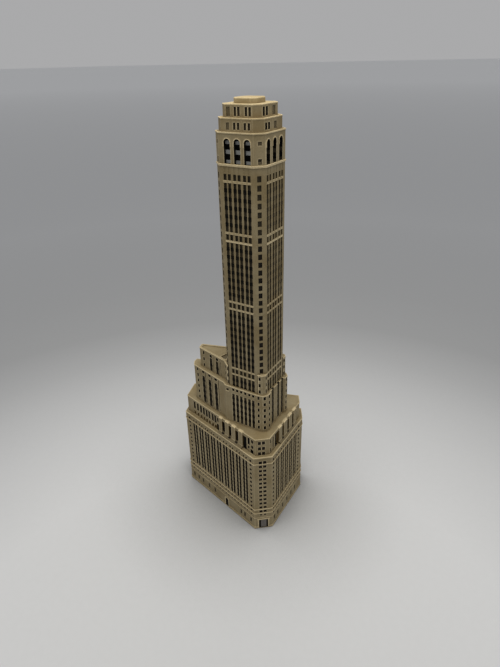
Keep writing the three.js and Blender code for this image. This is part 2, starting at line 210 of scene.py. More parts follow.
class Paint:
    """A material whose nodes are added one at a time."""

    def __init__(self, name):
        self.material = bpy.data.materials.new(name)
        self.material.use_nodes = True
        self.tree = self.material.node_tree
        self.shader = self.tree.nodes["Principled BSDF"]

    def feed(self, node, inputs):
        """Sets a node's inputs. Each value is a constant or another node's output."""
        for name, value in inputs.items():
            if isinstance(value, bpy.types.NodeSocket):
                self.tree.links.new(value, node.inputs[name])
            else:
                node.inputs[name].default_value = value

    def node(self, kind, inputs):
        node = self.tree.nodes.new(kind)
        self.feed(node, inputs)
        return node

    def place(self):
        return self.node("ShaderNodeTexCoord", {}).outputs["Object"]

    def noise(self, scale, detail=4.0):
        inputs = {"Vector": self.place(), "Scale": scale, "Detail": detail}
        return self.node("ShaderNodeTexNoise", inputs).outputs["Fac"]

    def ramp(self, factor, stops):
        node = self.node("ShaderNodeValToRGB", {"Fac": factor})
        elements = node.color_ramp.elements
        for index, (position, colour) in enumerate(stops):
            element = elements[index] if index < 2 else elements.new(position)
            element.position = position
            element.color = (*colour, 1)
        return node.outputs["Color"]

    def mix(self, factor, one, other, blend="MIX"):
        node = self.tree.nodes.new("ShaderNodeMix")
        node.data_type = "RGBA"
        node.blend_type = blend
        self.feed(node, {"Factor": factor, "A": one, "B": other})
        return node.outputs["Result"]

    def multiply(self, one, other):
        return self.mix(1.0, one, other, "MULTIPLY")

    def bump(self, height, strength, distance):
        inputs = {"Height": height, "Strength": strength, "Distance": distance}
        return self.node("ShaderNodeBump", inputs).outputs["Normal"]

    def occlusion(self, reach, inside=False):
        """Dark in hollows, or along edges where it looks inside the solid."""
        node = self.node("ShaderNodeAmbientOcclusion", {"Distance": reach})
        node.samples = 6
        node.inside = inside
        node.only_local = inside
        return node.outputs["AO"]


def painted(name, dark, light, roughness, metallic=0.0, grain=1500.0, relief=0.3, specular=0.5):
    """Paint or metal with a fine mottle, a little uneven in its gloss."""
    paint = Paint(name)
    fine = paint.noise(grain)
    paint.feed(paint.shader, {
        "Base Color": paint.ramp(fine, tones(dark, light)),
        "Roughness": paint.ramp(fine, tones(grey(roughness - 0.08), grey(roughness + 0.08))),
        "Normal": paint.bump(fine, relief, 0.00004),
        "Metallic": metallic,
        "Specular IOR Level": specular,
    })
    return paint.material


WHITE = grey(1.0)
BLANK = grey(0.0)
STONE_LIGHT = (0.312, 0.256, 0.150)
STONE_DARK = (0.242, 0.186, 0.094)
# The edge tone is painted highlight, and the wash tone is brown painted shade.
STONE_HIGHLIGHT = (0.58, 0.48, 0.295)
STONE_SHADE_WASH = (0.14, 0.096, 0.040)
# How far the painted highlight reaches in from an edge, and the brown wash of painted shade out from a
# corner, in metres.
HIGHLIGHT_REACH = 0.0006
SHADE_WASH_REACH = 0.0016


def cast_stone(name, shade=1.0, highlighted_edges=True):
    """Tan cast resin: mottled, with a brown wash in the corners that is partly painted shade, and edges
    painted paler, partly rubbed paint and partly painted highlight.
    """
    paint = Paint(name)
    broad = paint.noise(90.0, 3.0)
    fine = paint.noise(1400.0, 6.0)
    body = paint.ramp(broad, [(0.35, shaded(STONE_DARK, shade)), (0.65, shaded(STONE_LIGHT, shade))])
    # Painted highlight, partly rubbed paint: the stone turns paler near its edges.
    if highlighted_edges:
        highlight_tone = paint.ramp(broad, tones(shaded(STONE_HIGHLIGHT, shade), shaded(STONE_HIGHLIGHT, shade * 1.1)))
        highlight_mask = paint.ramp(paint.occlusion(HIGHLIGHT_REACH, inside=True), [(0.45, WHITE), (0.95, BLANK)])
        body = paint.mix(highlight_mask, body, highlight_tone)
    body = paint.multiply(body, paint.ramp(fine, tones((0.84, 0.83, 0.81), WHITE)))
    # Painted shade, partly a real wash: the stone turns brown where corners and recesses are occluded.
    open_air = paint.ramp(paint.occlusion(SHADE_WASH_REACH), [(0.3, BLANK), (0.88, WHITE)])
    shade_wash = paint.ramp(broad, tones(shaded(STONE_SHADE_WASH, shade), shaded(STONE_SHADE_WASH, shade * 1.25)))
    paint.feed(paint.shader, {
        "Base Color": paint.mix(open_air, shade_wash, body),
        "Roughness": paint.ramp(fine, tones(grey(0.62), grey(0.8))),
        "Normal": paint.bump(fine, 0.25, 0.00005),
        "Specular IOR Level": 0.25,
    })
    return paint.material


# The place of each finish in the list that every casting carries.
STONE, SHADED_STONE, WINDOW, BLACK, PANE, DOOR, LIT_STONE, LEAF, BROWN_WASH_SHADE, RAMP_SHADE = range(10)
FINISHES = [
    cast_stone("cast_stone"),
    # A darker copy of the stone for recessed faces and openings: painted shade.
    cast_stone("cast_stone_shaded", 0.45),
    painted("window_brown", (0.032, 0.026, 0.015), (0.058, 0.047, 0.030), 0.7, specular=0.12),
    painted("spandrel_black", (0.004, 0.004, 0.003), (0.010, 0.009, 0.007), 0.7, specular=0.08),
    painted("grey_pane", (0.235, 0.237, 0.222), (0.315, 0.317, 0.30), 0.5, specular=0.4),
    painted("dark_door", (0.010, 0.008, 0.006), (0.020, 0.015, 0.010), 0.6, specular=0.15),
    # A paler copy of the stone for courses, bands and upward tops: painted highlight where light falls.
    cast_stone("cast_stone_lit", 1.28),
    painted("grey_leaf", (0.13, 0.118, 0.105), (0.19, 0.172, 0.155), 0.5, specular=0.3),
    # Brown for faces in shade, such as the flanks beside the attic's slots and a deep jamb: painted shade.
    # It also makes a brown band under each tall attic window.
    painted("brown_wash_and_shade", (0.095, 0.062, 0.022), (0.145, 0.098, 0.040), 0.7, specular=0.12),
    # A darker copy of the stone for the slopes, without painted highlight: painted shade.
    cast_stone("cast_stone_ramp_shade", 0.62, highlighted_edges=False),
]
SHAFT_FINISHES = [cast_stone("cast_stone_shaft", highlighted_edges=False), *FINISHES[1:]]

# ---- castings


def added(name, data):
    """A new object in the scene with this mesh, lamp or camera."""
    item = bpy.data.objects.new(name, data)
    bpy.context.scene.collection.objects.link(item)
    return item


def meshed(name, bm):
    mesh = bpy.data.meshes.new(name)
    bm.to_mesh(mesh)
    bm.free()
    return added(name, mesh)


class Casting:
    """A closed casting: walls cut into a grid of cells, each with its own depth and finish.

    Depths run inwards from the outline, and face is that of a plain wall.
    """

    def __init__(self, outline, bottom, top, face=0.0):
        self.walls = walls_of(outline)
        self.bottom = bottom
        self.top = top
        self.face = face
        self.courses = []
        self.features = [[] for _ in self.walls]
        self.arcs = []
        self.bm = bmesh.new()
        self.vertices = {}

    def vertex(self, x, y, height):
        return self.bm.verts.new(((x + AXIS.x) * MM, (y + AXIS.y) * MM, height * MM))

    def course(self, low, high, out):
        """A band that runs round every wall and stands out from them."""
        self.courses.append((low, high, self.face - out))

    def cut(self, wall, centre, width, low, high, depth, finish):
        """A recess with square corners, or a block where the depth is negative."""
        start, end = centre - width / 2, centre + width / 2
        self.features[wall].append((start, end, low, high, self.face + depth, finish, ()))

    def cut_arched(self, wall, centre, width, low, spring, rise, depth, finish):
        """A recess with a round head that starts at the spring line."""
        start, end = centre - width / 2, centre + width / 2
        steps = tuple(centre - width / 2 * math.cos(angle) for angle in half_turn(ARCH_SLICES)[1:-1])
        self.features[wall].append((start, end, low, spring, self.face + depth, finish, steps))
        self.arcs.append((wall, centre, width / 2, spring, rise))

    def _grid(self):
        """Sets where the lines of each wall's grid run: across every wall, and up each wall."""
        spans = [feature[2:4] for features in self.features for feature in features]
        spans += [course[:2] for course in self.courses]
        heights = {self.bottom, self.top}.union(*spans)
        self.heights = sorted({round(h, 4) for h in heights if self.bottom <= h <= self.top})
        self.lines = []
        for wall, features in zip(self.walls, self.features):
            marks = {0.0, wall.length}.union(*(feature[:2] + feature[6] for feature in features))
            self.lines.append(sorted({round(mark, 4) for mark in marks}))

    def _cell(self, features, along, height):
        """The depth and finish of a cell. The last feature there counts, or else the last course."""
        depth, finish = self.face, STONE
        # Courses take the lit stone: painted highlight.
        for low, high, ring in self.courses:
            if low < height < high:
                depth, finish = ring, LIT_STONE
        for start, end, low, high, deep, kind, _ in features:
            if start < along < end and low < height < high:
                depth, finish = deep, kind
        return round(depth, 4), finish

    def _fill(self):
        """The cells of each wall, column by column from its start and upwards in each column."""
        rows = middles(self.heights)
        self.cells = [
            [[self._cell(features, along, height) for height in rows] for along in middles(lines)]
            for lines, features in zip(self.lines, self.features)
        ]

    def _lift(self, wall, along, height):
        """How far a grid point over a spring line rises, so that the line becomes a round arch."""
        for index, centre, half, spring, rise in self.arcs:
            reach = rise * 1.25 + 0.05
            over = height - spring
            if index == wall and -TOUCH < over < reach and abs(along - centre) < half - TOUCH:
                return rise * math.sqrt(1 - ((along - centre) / half) ** 2) * (1 - over / reach)
        return 0.0

    def _vertex(self, wall, i, j, depth):
        """The vertex of a grid point at a depth. Neighbouring walls share those at their corner."""
        last = len(self.lines[wall]) - 1
        corner = {0: wall, last: (wall + 1) % len(self.walls)}.get(i)
        key = (wall, i, j, depth) if corner is None else ("corner", corner, j, depth)
        if key not in self.vertices:
            height = self.heights[j]
            if corner is None:
                along = self.lines[wall][i]
                height += self._lift(wall, along, height)
                x, y = self.walls[wall].point(along, depth)
            else:
                x, y = corner_point(self.walls[corner - 1], self.walls[corner], depth, depth)
            self.vertices[key] = self.vertex(x, y, height)
        return self.vertices[key]

    def _depths_at(self, wall, i, j):
        """The depths of the cells that meet at a grid point."""
        columns = self.cells[wall][max(i - 1, 0):i + 1]
        return {cell[0] for column in columns for cell in column[max(j - 1, 0):j + 1]}

    def _steps(self, wall, i, j, start, end):
        """The vertices at a grid point from one depth to another, with any depths between."""
        low, high = sorted((start, end))
        depths = {low, high}.union(d for d in self._depths_at(wall, i, j) if low <= d <= high)
        return [self._vertex(wall, i, j, depth) for depth in sorted(depths, reverse=start > end)]

    def _side(self, wall, point, next_point, cell, next_cell):
        """The side of a recess between two cells. It takes the finish of the deeper one."""
        if cell[0] != next_cell[0]:
            across = self._steps(wall, *point, cell[0], next_cell[0])
            back = self._steps(wall, *next_point, next_cell[0], cell[0])
            self.face_of(across + back, max(cell, next_cell)[1])

    def face_of(self, vertices, finish=STONE):
        self.bm.faces.new(vertices).material_index = finish

    def repaint(self, old, new):
        """Gives every face made so far that has the old finish the new one."""
        for face in self.bm.faces:
            if face.material_index == old:
                face.material_index = new

    def skin(self, one, other, *finishes):
        """Joins two closed rings of vertices with a band of faces. The finishes take turns."""
        for k in range(len(one)):
            after = (k + 1) % len(one)
            self.face_of([one[k], one[after], other[after], other[k]], finishes[k % len(finishes)])

    def loft(self, sections, finish=STONE):
        """A closed solid through these sections, each a ring of vertices."""
        for one, other in zip(sections, sections[1:]):
            self.skin(one, other, finish)
        self.face_of(sections[0][::-1], finish)
        self.face_of(sections[-1], finish)

    def build_walls(self):
        self._grid()
        self._fill()
        for wall, grid in enumerate(self.cells):
            for i, column in enumerate(grid):
                for j, (depth, finish) in enumerate(column):
                    corners = ((i, j), (i + 1, j), (i + 1, j + 1), (i, j + 1))
                    self.face_of([self._vertex(wall, *corner, depth) for corner in corners], finish)
                    if i > 0:
                        self._side(wall, (i, j), (i, j + 1), grid[i - 1][j], column[j])
                    if j > 0:
                        self._side(wall, (i + 1, j), (i, j), column[j - 1], column[j])

    def edge_loop(self, row):
        """The wall vertices along the bottom (row 0) or the top (row -1), one list for each wall."""
        j = row % len(self.heights)
        loop = []
        for wall, grid in enumerate(self.cells):
            side = [self._vertex(wall, 0, j, grid[0][row][0])]
            for i in range(1, len(grid)):
                side += self._steps(wall, i, j, grid[i - 1][row][0], grid[i][row][0])
            loop.append(side)
        return loop

    def rings(self, loop, steps, finish=STONE):
        """Carries a loop of wall vertices inwards through rings of (depths of the walls, height)."""
        for depths, height in steps:
            inner = [[self.vertex(x, y, height)] for x, y in set_back(self.walls, depths)]
            for k in range(len(loop)):
                after = (k + 1) % len(loop)
                self.face_of(loop[k] + [loop[after][0], inner[after][0], inner[k][0]], finish)
            loop = inner
        return loop

    def tube(self, profile, x=0.0, y=0.0):
        """The wall of a bore, as (radius, height) rings from its mouth. Returns its first and last ring."""
        turns = [2 * math.pi * k / BORE_SIDES for k in range(BORE_SIDES)]
        circles = [
            [self.vertex(x + radius * math.cos(a), y + radius * math.sin(a), height) for a in turns]
            for radius, height in profile
        ]
        for one, other in zip(circles, circles[1:]):
            self.skin(one, other, STONE)
        return circles[0], circles[-1]

    def socket(self, place, height, reach, radius=DOWEL_HOLE):
        """A blind hole, upwards where its reach is positive. Returns its mouth."""
        mouth, end = self.tube([(radius, height), (radius, height + reach)], *place)
        self.face_of(end)
        return mouth

    def holes(self, low, high, dowels_below=(), dowels_above=()):
        """The tie rod's bore and the dowels' sockets. Returns the mouths below and above."""
        mouth_below, mouth_above = self.tube([(BORE, low), (BORE, high)])
        below = [self.socket(place, low, DOWEL_REACH) for place in dowels_below]
        above = [self.socket(place, high, -DOWEL_REACH) for place in dowels_above]
        return [mouth_below, *below], [mouth_above, *above]

    def cap(self, loop, holes=(), finish=STONE):
        """Closes a loop with a flat face that leaves the holes open."""
        outer = [vertex for side in loop for vertex in side]
        if not holes:
            self.face_of(outer, finish)
            return
        edges = []
        for ring in [outer, *holes]:
            for one, other in zip(ring, ring[1:] + ring[:1]):
                edges.append(self.bm.edges.get((one, other)) or self.bm.edges.new((one, other)))
        filled = bmesh.ops.triangle_fill(self.bm, edges=edges, use_beauty=True)
        for element in filled["geom"]:
            if isinstance(element, bmesh.types.BMFace):
                element.material_index = finish

    def close(self, bottom_holes=(), top_holes=(), bottom_rings=(), top_rings=(), top=STONE):
        """The underside and the top, each with its holes and with any rings on the way in."""
        self.cap(self.rings(self.edge_loop(0), bottom_rings), bottom_holes)
        self.cap(self.rings(self.edge_loop(-1), top_rings, top), top_holes, top)

    def even(self, depth):
        """The same depth for every wall."""
        return [depth] * len(self.walls)

    def place(self, wall, along, depth, height):
        return self.vertex(*self.walls[wall].point(along, depth), height)

    def add_slab(self, wall, points, near, far, finish):
        """A closed slab flat against a wall. Its outline is given as (distance along, height)."""
        self.loft([
            [self.place(wall, along, depth, height) for along, height in points] for depth in (near, far)
        ], finish)

    def add_bar(self, wall, start, end, near, far, low, high, finish=STONE):
        self.add_slab(wall, [(start, low), (end, low), (end, high), (start, high)], near, far, finish)

    def add_buttress(self, wall, start, end, near, far, levels):
        """A pier with soft shoulders. A level is (height, inset, front finish above it, side finish)."""
        rings = []
        for height, inset, _, _ in levels:
            left, right, out = start + inset, end - inset, near + inset
            corners = ((left, out), (right, out), (right, far), (left, far))
            rings.append([self.place(wall, *corner, height) for corner in corners])
        for (_, _, front, side), one, other in zip(levels, rings, rings[1:]):
            self.skin(one, other, front, side)
        self.face_of(rings[0][::-1])
        # The top is painted in the lit stone: painted highlight.
        self.face_of(rings[-1], LIT_STONE)

    def add_ramp(self, wall, start, end, near, far, low, high):
        """A wedge that slopes up towards the wall, painted darker as painted shade."""
        section = ((near, low), (far, low), (far, high))
        self.loft([[self.place(wall, along, *point) for point in section] for along in (start, end)], RAMP_SHADE)

    def add_hood(self, wall, centre, inner, outer, spring, near, far, foot):
        """A raised rim round an arch, with its two legs."""
        arc = [(-math.cos(angle), math.sin(angle), spring) for angle in half_turn(HOOD_SLICES)]
        edges = ((inner, near), (outer, near), (outer, far), (inner, far))
        self.loft([
            [self.place(wall, centre + across * r, depth, height + up * r) for r, depth in edges]
            for across, up, height in [(-1, 0, foot), *arc, (1, 0, foot)]
        ])

    def finish(self, name, node, slot="cast_stone", materials=FINISHES, bevel=EDGE):
        """Turns the casting into a piece that rides on the model in place of its plain node."""
        bmesh.ops.recalc_face_normals(self.bm, faces=self.bm.faces)
        piece = meshed(name, self.bm)
        for material in materials:
            piece.data.materials.append(material)
        if bevel:
            soften = piece.modifiers.new("soft_edges", "BEVEL")
            soften.width = bevel * MM
            soften.segments = 2
            soften.limit_method = "ANGLE"
            soften.angle_limit = math.radians(40)
        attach(piece, "root")
        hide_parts(node)


# ---- windows


def spots(layout):
    """Every (wall, distance along it) of a layout that lists the distances for each wall."""
    return [(wall, along) for wall, distances in layout.items() for along in distances]


def base_row(j):
    return BASE_ROW + BASE_STOREY * j


def tower_line(k):
    return TOWER_LINE + TOWER_STOREY * k


def tower_row(k):
    return tower_line(k + 0.5)


def window(block, wall, centre, height, width=1.2, tall=1.3, depth=0.4, finish=WINDOW):
    block.cut(wall, centre, width, height - tall / 2, height + tall / 2, depth, finish)


# The finishes of a strip's windows and of its spandrels.
DARK_STRIP = (WINDOW, BLACK)
# On the right faces the windows are painted in shaded stone and the spandrels in window brown, paler than
# elsewhere: painted light on that side.
LIT_SIDE_STRIP = (SHADED_STONE, WINDOW)


def window_strip(block, wall, centre, low, high, spandrels, tall=1.2, width=STRIP, finishes=DARK_STRIP):
    """An upright recess of windows, one to a storey, with a wider spandrel between each two."""
    glass, spandrel = finishes
    block.cut(wall, centre, width, low, high, STRIP_DEPTH, glass)
    for height in spandrels:
        window(block, wall, centre, height, width + 0.25, tall, SPANDREL_DEPTH, spandrel)


# ---- street storey

BASE_PAIRS = {
    FRONT: pairs(8.6, 9, BAY, PAIR_OFFSET),
    RIGHT: pairs(6.8, 5, BAY, PAIR_OFFSET),
    BACK: pairs(6.9, 11, BAY, PAIR_OFFSET),
    LEFT: pairs(3.2, 3, BAY, PAIR_OFFSET),
}
BASE_SINGLES = {FRONT: (3.5, 56), CORNER: (3.8, 6.15), RIGHT: (1.7, 33), REAR_CORNER: (3.7, 6)}
SHOP_OPENINGS = {
    FRONT: (3.5, 7.8, 12.1, 18.1, 23.6, 47.2, 50.3, 55.4),
    RIGHT: (3.1, 7.2, 13.3, 18.9, 24.4, 29.3),
    BACK: (7, 12.4, 17.8, 23.2, 44, 49.4, 54.8, 60.2),
    LEFT: (3.2, 8.55, 13.9),
}
PLINTH_TOP = 1.6
# The grey panel in the cut corner and the arched door in the front. Both stand in recesses.
PANEL_START, PANEL_END = 2.75, 7.55
PANEL_SILL, PANEL_TOP = 0.5, 6.5
DOOR_CENTRE = 34.8
DOOR_HALF = 1.1
DOOR_SILL = 0.75
DOOR_SPRING = 5.65
DOOR_GAP = 0.3
DOOR_RECESS = 1.3
DOOR_BACK = DOOR_RECESS - DOOR_GAP
DOOR_FRONT = DOOR_BACK - 0.8
FELT_RECESS = 2.2
FELT_TOP = top_of("base_felt_pad")
COUNTERBORE = 7
WASHER_TOP = top_of("tie_rod_washer")
STREET_DOWEL = (-35, 0)
WING_DOWEL = (-30, -1.5)
UPPER_WING_DOWELS = ((-28, -1.5), (-18, -1.5))


def street_storey():
    block = Casting(BASE_OUTLINE, bottom_of("street_storey"), STREET_TOP, face=0.3)
    block.course(block.bottom, PLINTH_TOP, 0.3)
    block.course(11.75, STREET_TOP, 0.3)
    block.course(8.2, 8.6, 0.15)
    for wall, centre in spots(SHOP_OPENINGS):
        block.cut(wall, centre, 1.7, 3.3, 6.9, 0.15, SHADED_STONE)
        block.cut(wall, centre, 0.8, 3.8, 6.2, 0.35, WINDOW)
    for wall, centre in spots(BASE_PAIRS):
        window(block, wall, centre, base_row(-1), depth=0.3, tall=1.2, finish=SHADED_STONE)
    for wall, centre in spots(BASE_SINGLES):
        window(block, wall, centre, base_row(-1), tall=1.2)
    block.cut_arched(FRONT, DOOR_CENTRE, 2 * DOOR_HALF + DOOR_GAP, DOOR_SILL, DOOR_SPRING,
                       DOOR_HALF + DOOR_GAP / 2, DOOR_RECESS - block.face, BLACK)
    low, high = PANEL_START - DOOR_GAP, PANEL_END + DOOR_GAP
    head = PANEL_TOP + DOOR_GAP
    block.cut(CORNER, (low + high) / 2, high - low, PANEL_SILL, head, DOOR_RECESS - block.face, WINDOW)
    block.build_walls()
    for start, end in ((low - 0.6, low), (high, high + 0.6)):
        block.add_bar(CORNER, start, end, 0.0, 0.5, PLINTH_TOP, head)
    block.add_bar(CORNER, low - 0.9, high + 0.9, 0.0, 0.5, head, head + 0.7)
    block.add_hood(FRONT, DOOR_CENTRE, 1.3, 1.9, DOOR_SPRING, 0.0, 0.5, PLINTH_TOP)
    bore_mouth, bore_end = block.tube([
        (COUNTERBORE, FELT_TOP), (COUNTERBORE, WASHER_TOP), (BORE, WASHER_TOP), (BORE, STREET_TOP),
    ])
    dowel_mouth = block.socket(STREET_DOWEL, STREET_TOP, -DOWEL_REACH)
    felt_rings = [(block.even(FELT_RECESS), height) for height in (block.bottom, FELT_TOP)]
    block.close([bore_mouth], [bore_end, dowel_mouth], bottom_rings=felt_rings)
    block.finish("street_storey_stone", "street_storey")


def door_block(wall, start, end, sill, top):
    """The block of a door leaf, which stands in a recess of the base's wall."""
    side = walls_of(BASE_OUTLINE)[wall]
    outline = [side.point(start, DOOR_FRONT), side.point(end, DOOR_FRONT),
               side.point(end, DOOR_BACK), side.point(start, DOOR_BACK)]
    return Casting(outline, sill, top)


def entrance_panel():
    """Two grey leaves with dark sides, set back in the entrance. The dark sides are painted shade of the
    recess's reveals.
    """
    block = door_block(CORNER, PANEL_START, PANEL_END, PANEL_SILL, PANEL_TOP)
    # The dark sides beside the leaves are painted shade.
    block.cut(0, 2.4, 4.7, 0.7, 6.4, 0.4, DOOR)
    for centre in (1.75, 3.35):
        block.cut(0, centre, 1.52, 0.8, 6.3, 0.05, LEAF)
        block.cut(0, centre, 0.9, 1.3, 4.3, 0.2, LEAF)
        block.cut(0, centre, 0.9, 4.7, 5.9, 0.2, LEAF)
    block.build_walls()
    block.repaint(STONE, WINDOW)
    block.close()
    block.finish("entrance_leaves", "corner_entrance_panel", "grey_pane", bevel=0)


def front_door():
    """An arched door leaf with four sunk panels."""
    block = door_block(FRONT, DOOR_CENTRE - DOOR_HALF, DOOR_CENTRE + DOOR_HALF, DOOR_SILL, DOOR_SPRING)
    for low, high in ((1.1, 2.9), (3.2, DOOR_SPRING - 0.3)):
        for centre in (0.5 * DOOR_HALF, 1.5 * DOOR_HALF):
            block.cut(0, centre, DOOR_HALF - 0.4, low, high, 0.2, DOOR)
    block.build_walls()
    block.close()
    side = walls_of(BASE_OUTLINE)[FRONT]
    arc = [(DOOR_HALF * math.cos(angle), DOOR_HALF * math.sin(angle)) for angle in half_turn(DOOR_SLICES)]
    block.loft([
        [block.vertex(*side.point(DOOR_CENTRE + across, depth), DOOR_SPRING + up) for across, up in arc]
        for depth in (DOOR_FRONT, DOOR_BACK)
    ])
    block.repaint(STONE, DOOR)
    block.finish("arched_door_leaf", "front_entrance_door", "dark_door", bevel=0)


# ---- base block

BASE_ROWS = 13
BASE_STRIPS_TOP = 48.1
CORNICE = 52.4
ATTIC_OUTLINE = set_back(walls_of(BASE_OUTLINE), ATTIC_SETBACKS)
# Where the attic's buttresses and the slots between them begin along the wall, buttress first.
BUTTRESS_EDGES = {
    FRONT: (28.7, 31.3, 33.9, 36.9, 39.2, 42.3, 44.8, 48.0, 50.7),
    RIGHT: (10.1, 13.3, 15.6, 19.5, 21.8, 25.4, 27.5, 30.8),
}
BUTTRESSES = {wall: list(zip(edges[::2], edges[1::2])) for wall, edges in BUTTRESS_EDGES.items()}
SLOTS = {wall: list(zip(edges[1::2], edges[2::2])) for wall, edges in BUTTRESS_EDGES.items()}
# Where a slope joins the attic's wall to the base's, and how far inside the base's outline its foot is.
RAMPS = {wall: (spans[0][0], spans[-1][1]) for wall, spans in BUTTRESSES.items()}
RAMP_FOOT = 0.42


def base_block():
    block = Casting(BASE_OUTLINE, STREET_TOP, BASE_TOP, face=0.4)
    block.course(14.8, 15.4, 0.4)
    block.course(48.45, 49.05, 0.35)
    block.course(CORNICE, BASE_TOP, 0.12)
    attic_sides = walls_of(ATTIC_OUTLINE)
    for wall, (start, end) in RAMPS.items():
        side, attic_side = block.walls[wall], attic_sides[wall]
        shift = (attic_side.x - side.x) * side.dx + (attic_side.y - side.y) * side.dy
        block.cut(wall, shift + (start + end) / 2, end - start, CORNICE, BASE_TOP, 0, STONE)
    spandrels = [base_row(j + 0.5) for j in range(1, BASE_ROWS - 2)]
    for wall, centre in spots(BASE_PAIRS):
        window_strip(block, wall, centre, base_row(1) - 0.65, BASE_STRIPS_TOP, spandrels, width=1.55,
                     finishes=LIT_SIDE_STRIP if wall == RIGHT else DARK_STRIP)
        window(block, wall, centre, base_row(0), depth=0.3, finish=SHADED_STONE)
        window(block, wall, centre, base_row(BASE_ROWS - 1))
    for wall, centre in spots(BASE_SINGLES):
        for j in range(BASE_ROWS):
            if wall == CORNER:
                window(block, wall, centre, base_row(j) - 0.3, width=1.85, tall=1.65, finish=DOOR)
            else:
                window(block, wall, centre, base_row(j), width=1.6, tall=1.5, finish=DOOR)
    block.build_walls()
    below, above = block.holes(STREET_TOP, TERRACE, [STREET_DOWEL], [STREET_DOWEL])
    parapet = block.even(PARAPET)
    inner = [depth - 0.05 for depth in ATTIC_SETBACKS]
    roof = [(parapet, BASE_TOP), (parapet, ROOF_EDGE), (inner, ROOF_EDGE), (inner, TERRACE)]
    block.close(below, above, top_rings=roof)
    block.finish("base_block_stone", "base_block")


# ---- attic storey

BUTTRESS_OUT = 0.6
SLOT_LOW, SLOT_HIGH = 54.7, 61.6
ATTIC_TALL = {
    FRONT: (6.4, 9.4, 12.3, 14.9, 17.4, 19.8, 22.8, 25.1),
    BACK: pairs(6.4, 10, BAY, PAIR_OFFSET),
    LEFT: pairs(4.5, 2, BAY, PAIR_OFFSET),
}
# Square windows in three rows.
ATTIC_SQUARE = {FRONT: (55.0,), CORNER: (2.25, 4.4), REAR_CORNER: (2.4, 4.5)}
ATTIC_ROWS = (61.1, 57.4, 54.0)
# Windows that break the rhythm, as (wall, distance along it, height, width, tall), and their depth
# and finish where they aren't the usual ones.
ATTIC_ODD = (
    (FRONT, 27.2, 60.2, 1.4, 3.0),
    (FRONT, 27.2, 54.9, 2.4, 4.6, 0.7, BLACK),
    (FRONT, 52.3, 60.0, 1.7, 4.4, 0.4, BLACK),
    (FRONT, 52.2, 55.8, 1.4, 2.0),
    (FRONT, 54.7, 54.3, 2.2, 2.7, 0.7, BLACK),
    (RIGHT, 1.0, 61.0, 0.9, 2.6),
    (RIGHT, 1.0, 55.3, 0.9, 2.6),
    (RIGHT, 3.9, 58.4, 1.1, 7.2),
    (RIGHT, 31.9, 57.5, 1.3, 5.0),
    (RIGHT, 7.95, 57.7, 4.1, 8.6, 1.05, BLACK),
    # The brown strip is painted shade on the jamb of the deep recess.
    (RIGHT, 9.55, 57.7, 0.9, 8.6, 1.05, BROWN_WASH_SHADE),
)


def attic_storey():
    block = Casting(ATTIC_OUTLINE, TERRACE, ATTIC_TOP)
    block.course(63.2, ATTIC_TOP, 0.12)
    for wall, centre in spots(ATTIC_TALL):
        block.cut(wall, centre, 1.95, 57.2, 62.3, 0.5, WINDOW)
        block.cut(wall, centre, 1.8, 53.3, 55.6, 0.4, BROWN_WASH_SHADE)
    for wall, centre in spots(ATTIC_SQUARE):
        for row in ATTIC_ROWS:
            window(block, wall, centre, row, width=1.7, tall=2.1, finish=DOOR)
    for details in ATTIC_ODD:
        window(block, *details)
    for wall, (start, end) in spots(SLOTS):
        block.cut(wall, (start + end) / 2, end - start, SLOT_LOW, SLOT_HIGH, 0.5, BLACK)
    # The last slot of the front has no slope in front of it, so it reaches further down.
    start, end = SLOTS[FRONT][-1]
    block.cut(FRONT, (start + end) / 2, end - start, 53.2, SLOT_LOW, 0.5, BLACK)
    block.build_walls()
    for wall, (start, end) in RAMPS.items():
        spread = ATTIC_SETBACKS[wall] - RAMP_FOOT
        block.add_ramp(wall, start, end, -spread, 0.3, ROOF_EDGE, SLOT_LOW + 0.1)
        for slot_start, slot_end in SLOTS[wall]:
            if slot_start < end:
                centre = (slot_start + slot_end) / 2 - 0.4
                block.add_bar(wall, centre - 0.75, centre + 0.75, -0.5 * spread, 0.3, 53.2, 54.35, DOOR)
    shoulder = ATTIC_TOP - 0.1
    # The shoulders are painted in the lit stone as painted highlight, and the flanks beside the slots in
    # brown as painted shade.
    levels = [
        (TERRACE, 0, STONE, STONE), (SLOT_LOW, 0, STONE, BROWN_WASH_SHADE), (SLOT_HIGH, 0, STONE, STONE),
        (shoulder - 0.5, 0, LIT_STONE, LIT_STONE), (shoulder - 0.15, 0.12, LIT_STONE, LIT_STONE), (shoulder, 0.45, LIT_STONE, LIT_STONE),
    ]
    for wall, (start, end) in spots(BUTTRESSES):
        block.add_buttress(wall, start, end, -BUTTRESS_OUT, 0.6, levels)
    block.close(*block.holes(TERRACE, ATTIC_TOP, [STREET_DOWEL], [WING_DOWEL]))
    block.finish("attic_storey_stone", "attic_storey")


# ---- wings

LOWER_ROWS = [tower_row(k) - 0.2 for k in range(-6, 0)]
LOWER_SPANDRELS = [tower_line(k) for k in range(-5, -1)]
UPPER_ROWS = (96.6, 92.7, 88.8)
WING_STRIPS_LOW, WING_STRIPS_TOP = 64.6, 82.8
WING_TOP_ROW = 85.4
# The lower wing's wall below the tower's right face.
WING_RIGHT = 7
# (wall, distance along it, width) of each column of small windows.
WING_COLUMNS = (
    (0, 2.9, 1.3), (3, 0.7, 1.1), (4, 0.9, 1.3), (5, 1.7, 1.3), (9, 1.3, 1.3), (10, 1.5, 1.3),
    (13, 2.25, 1.4), (15, 1.5, 1.2), (16, 1.8, 1.2),
)
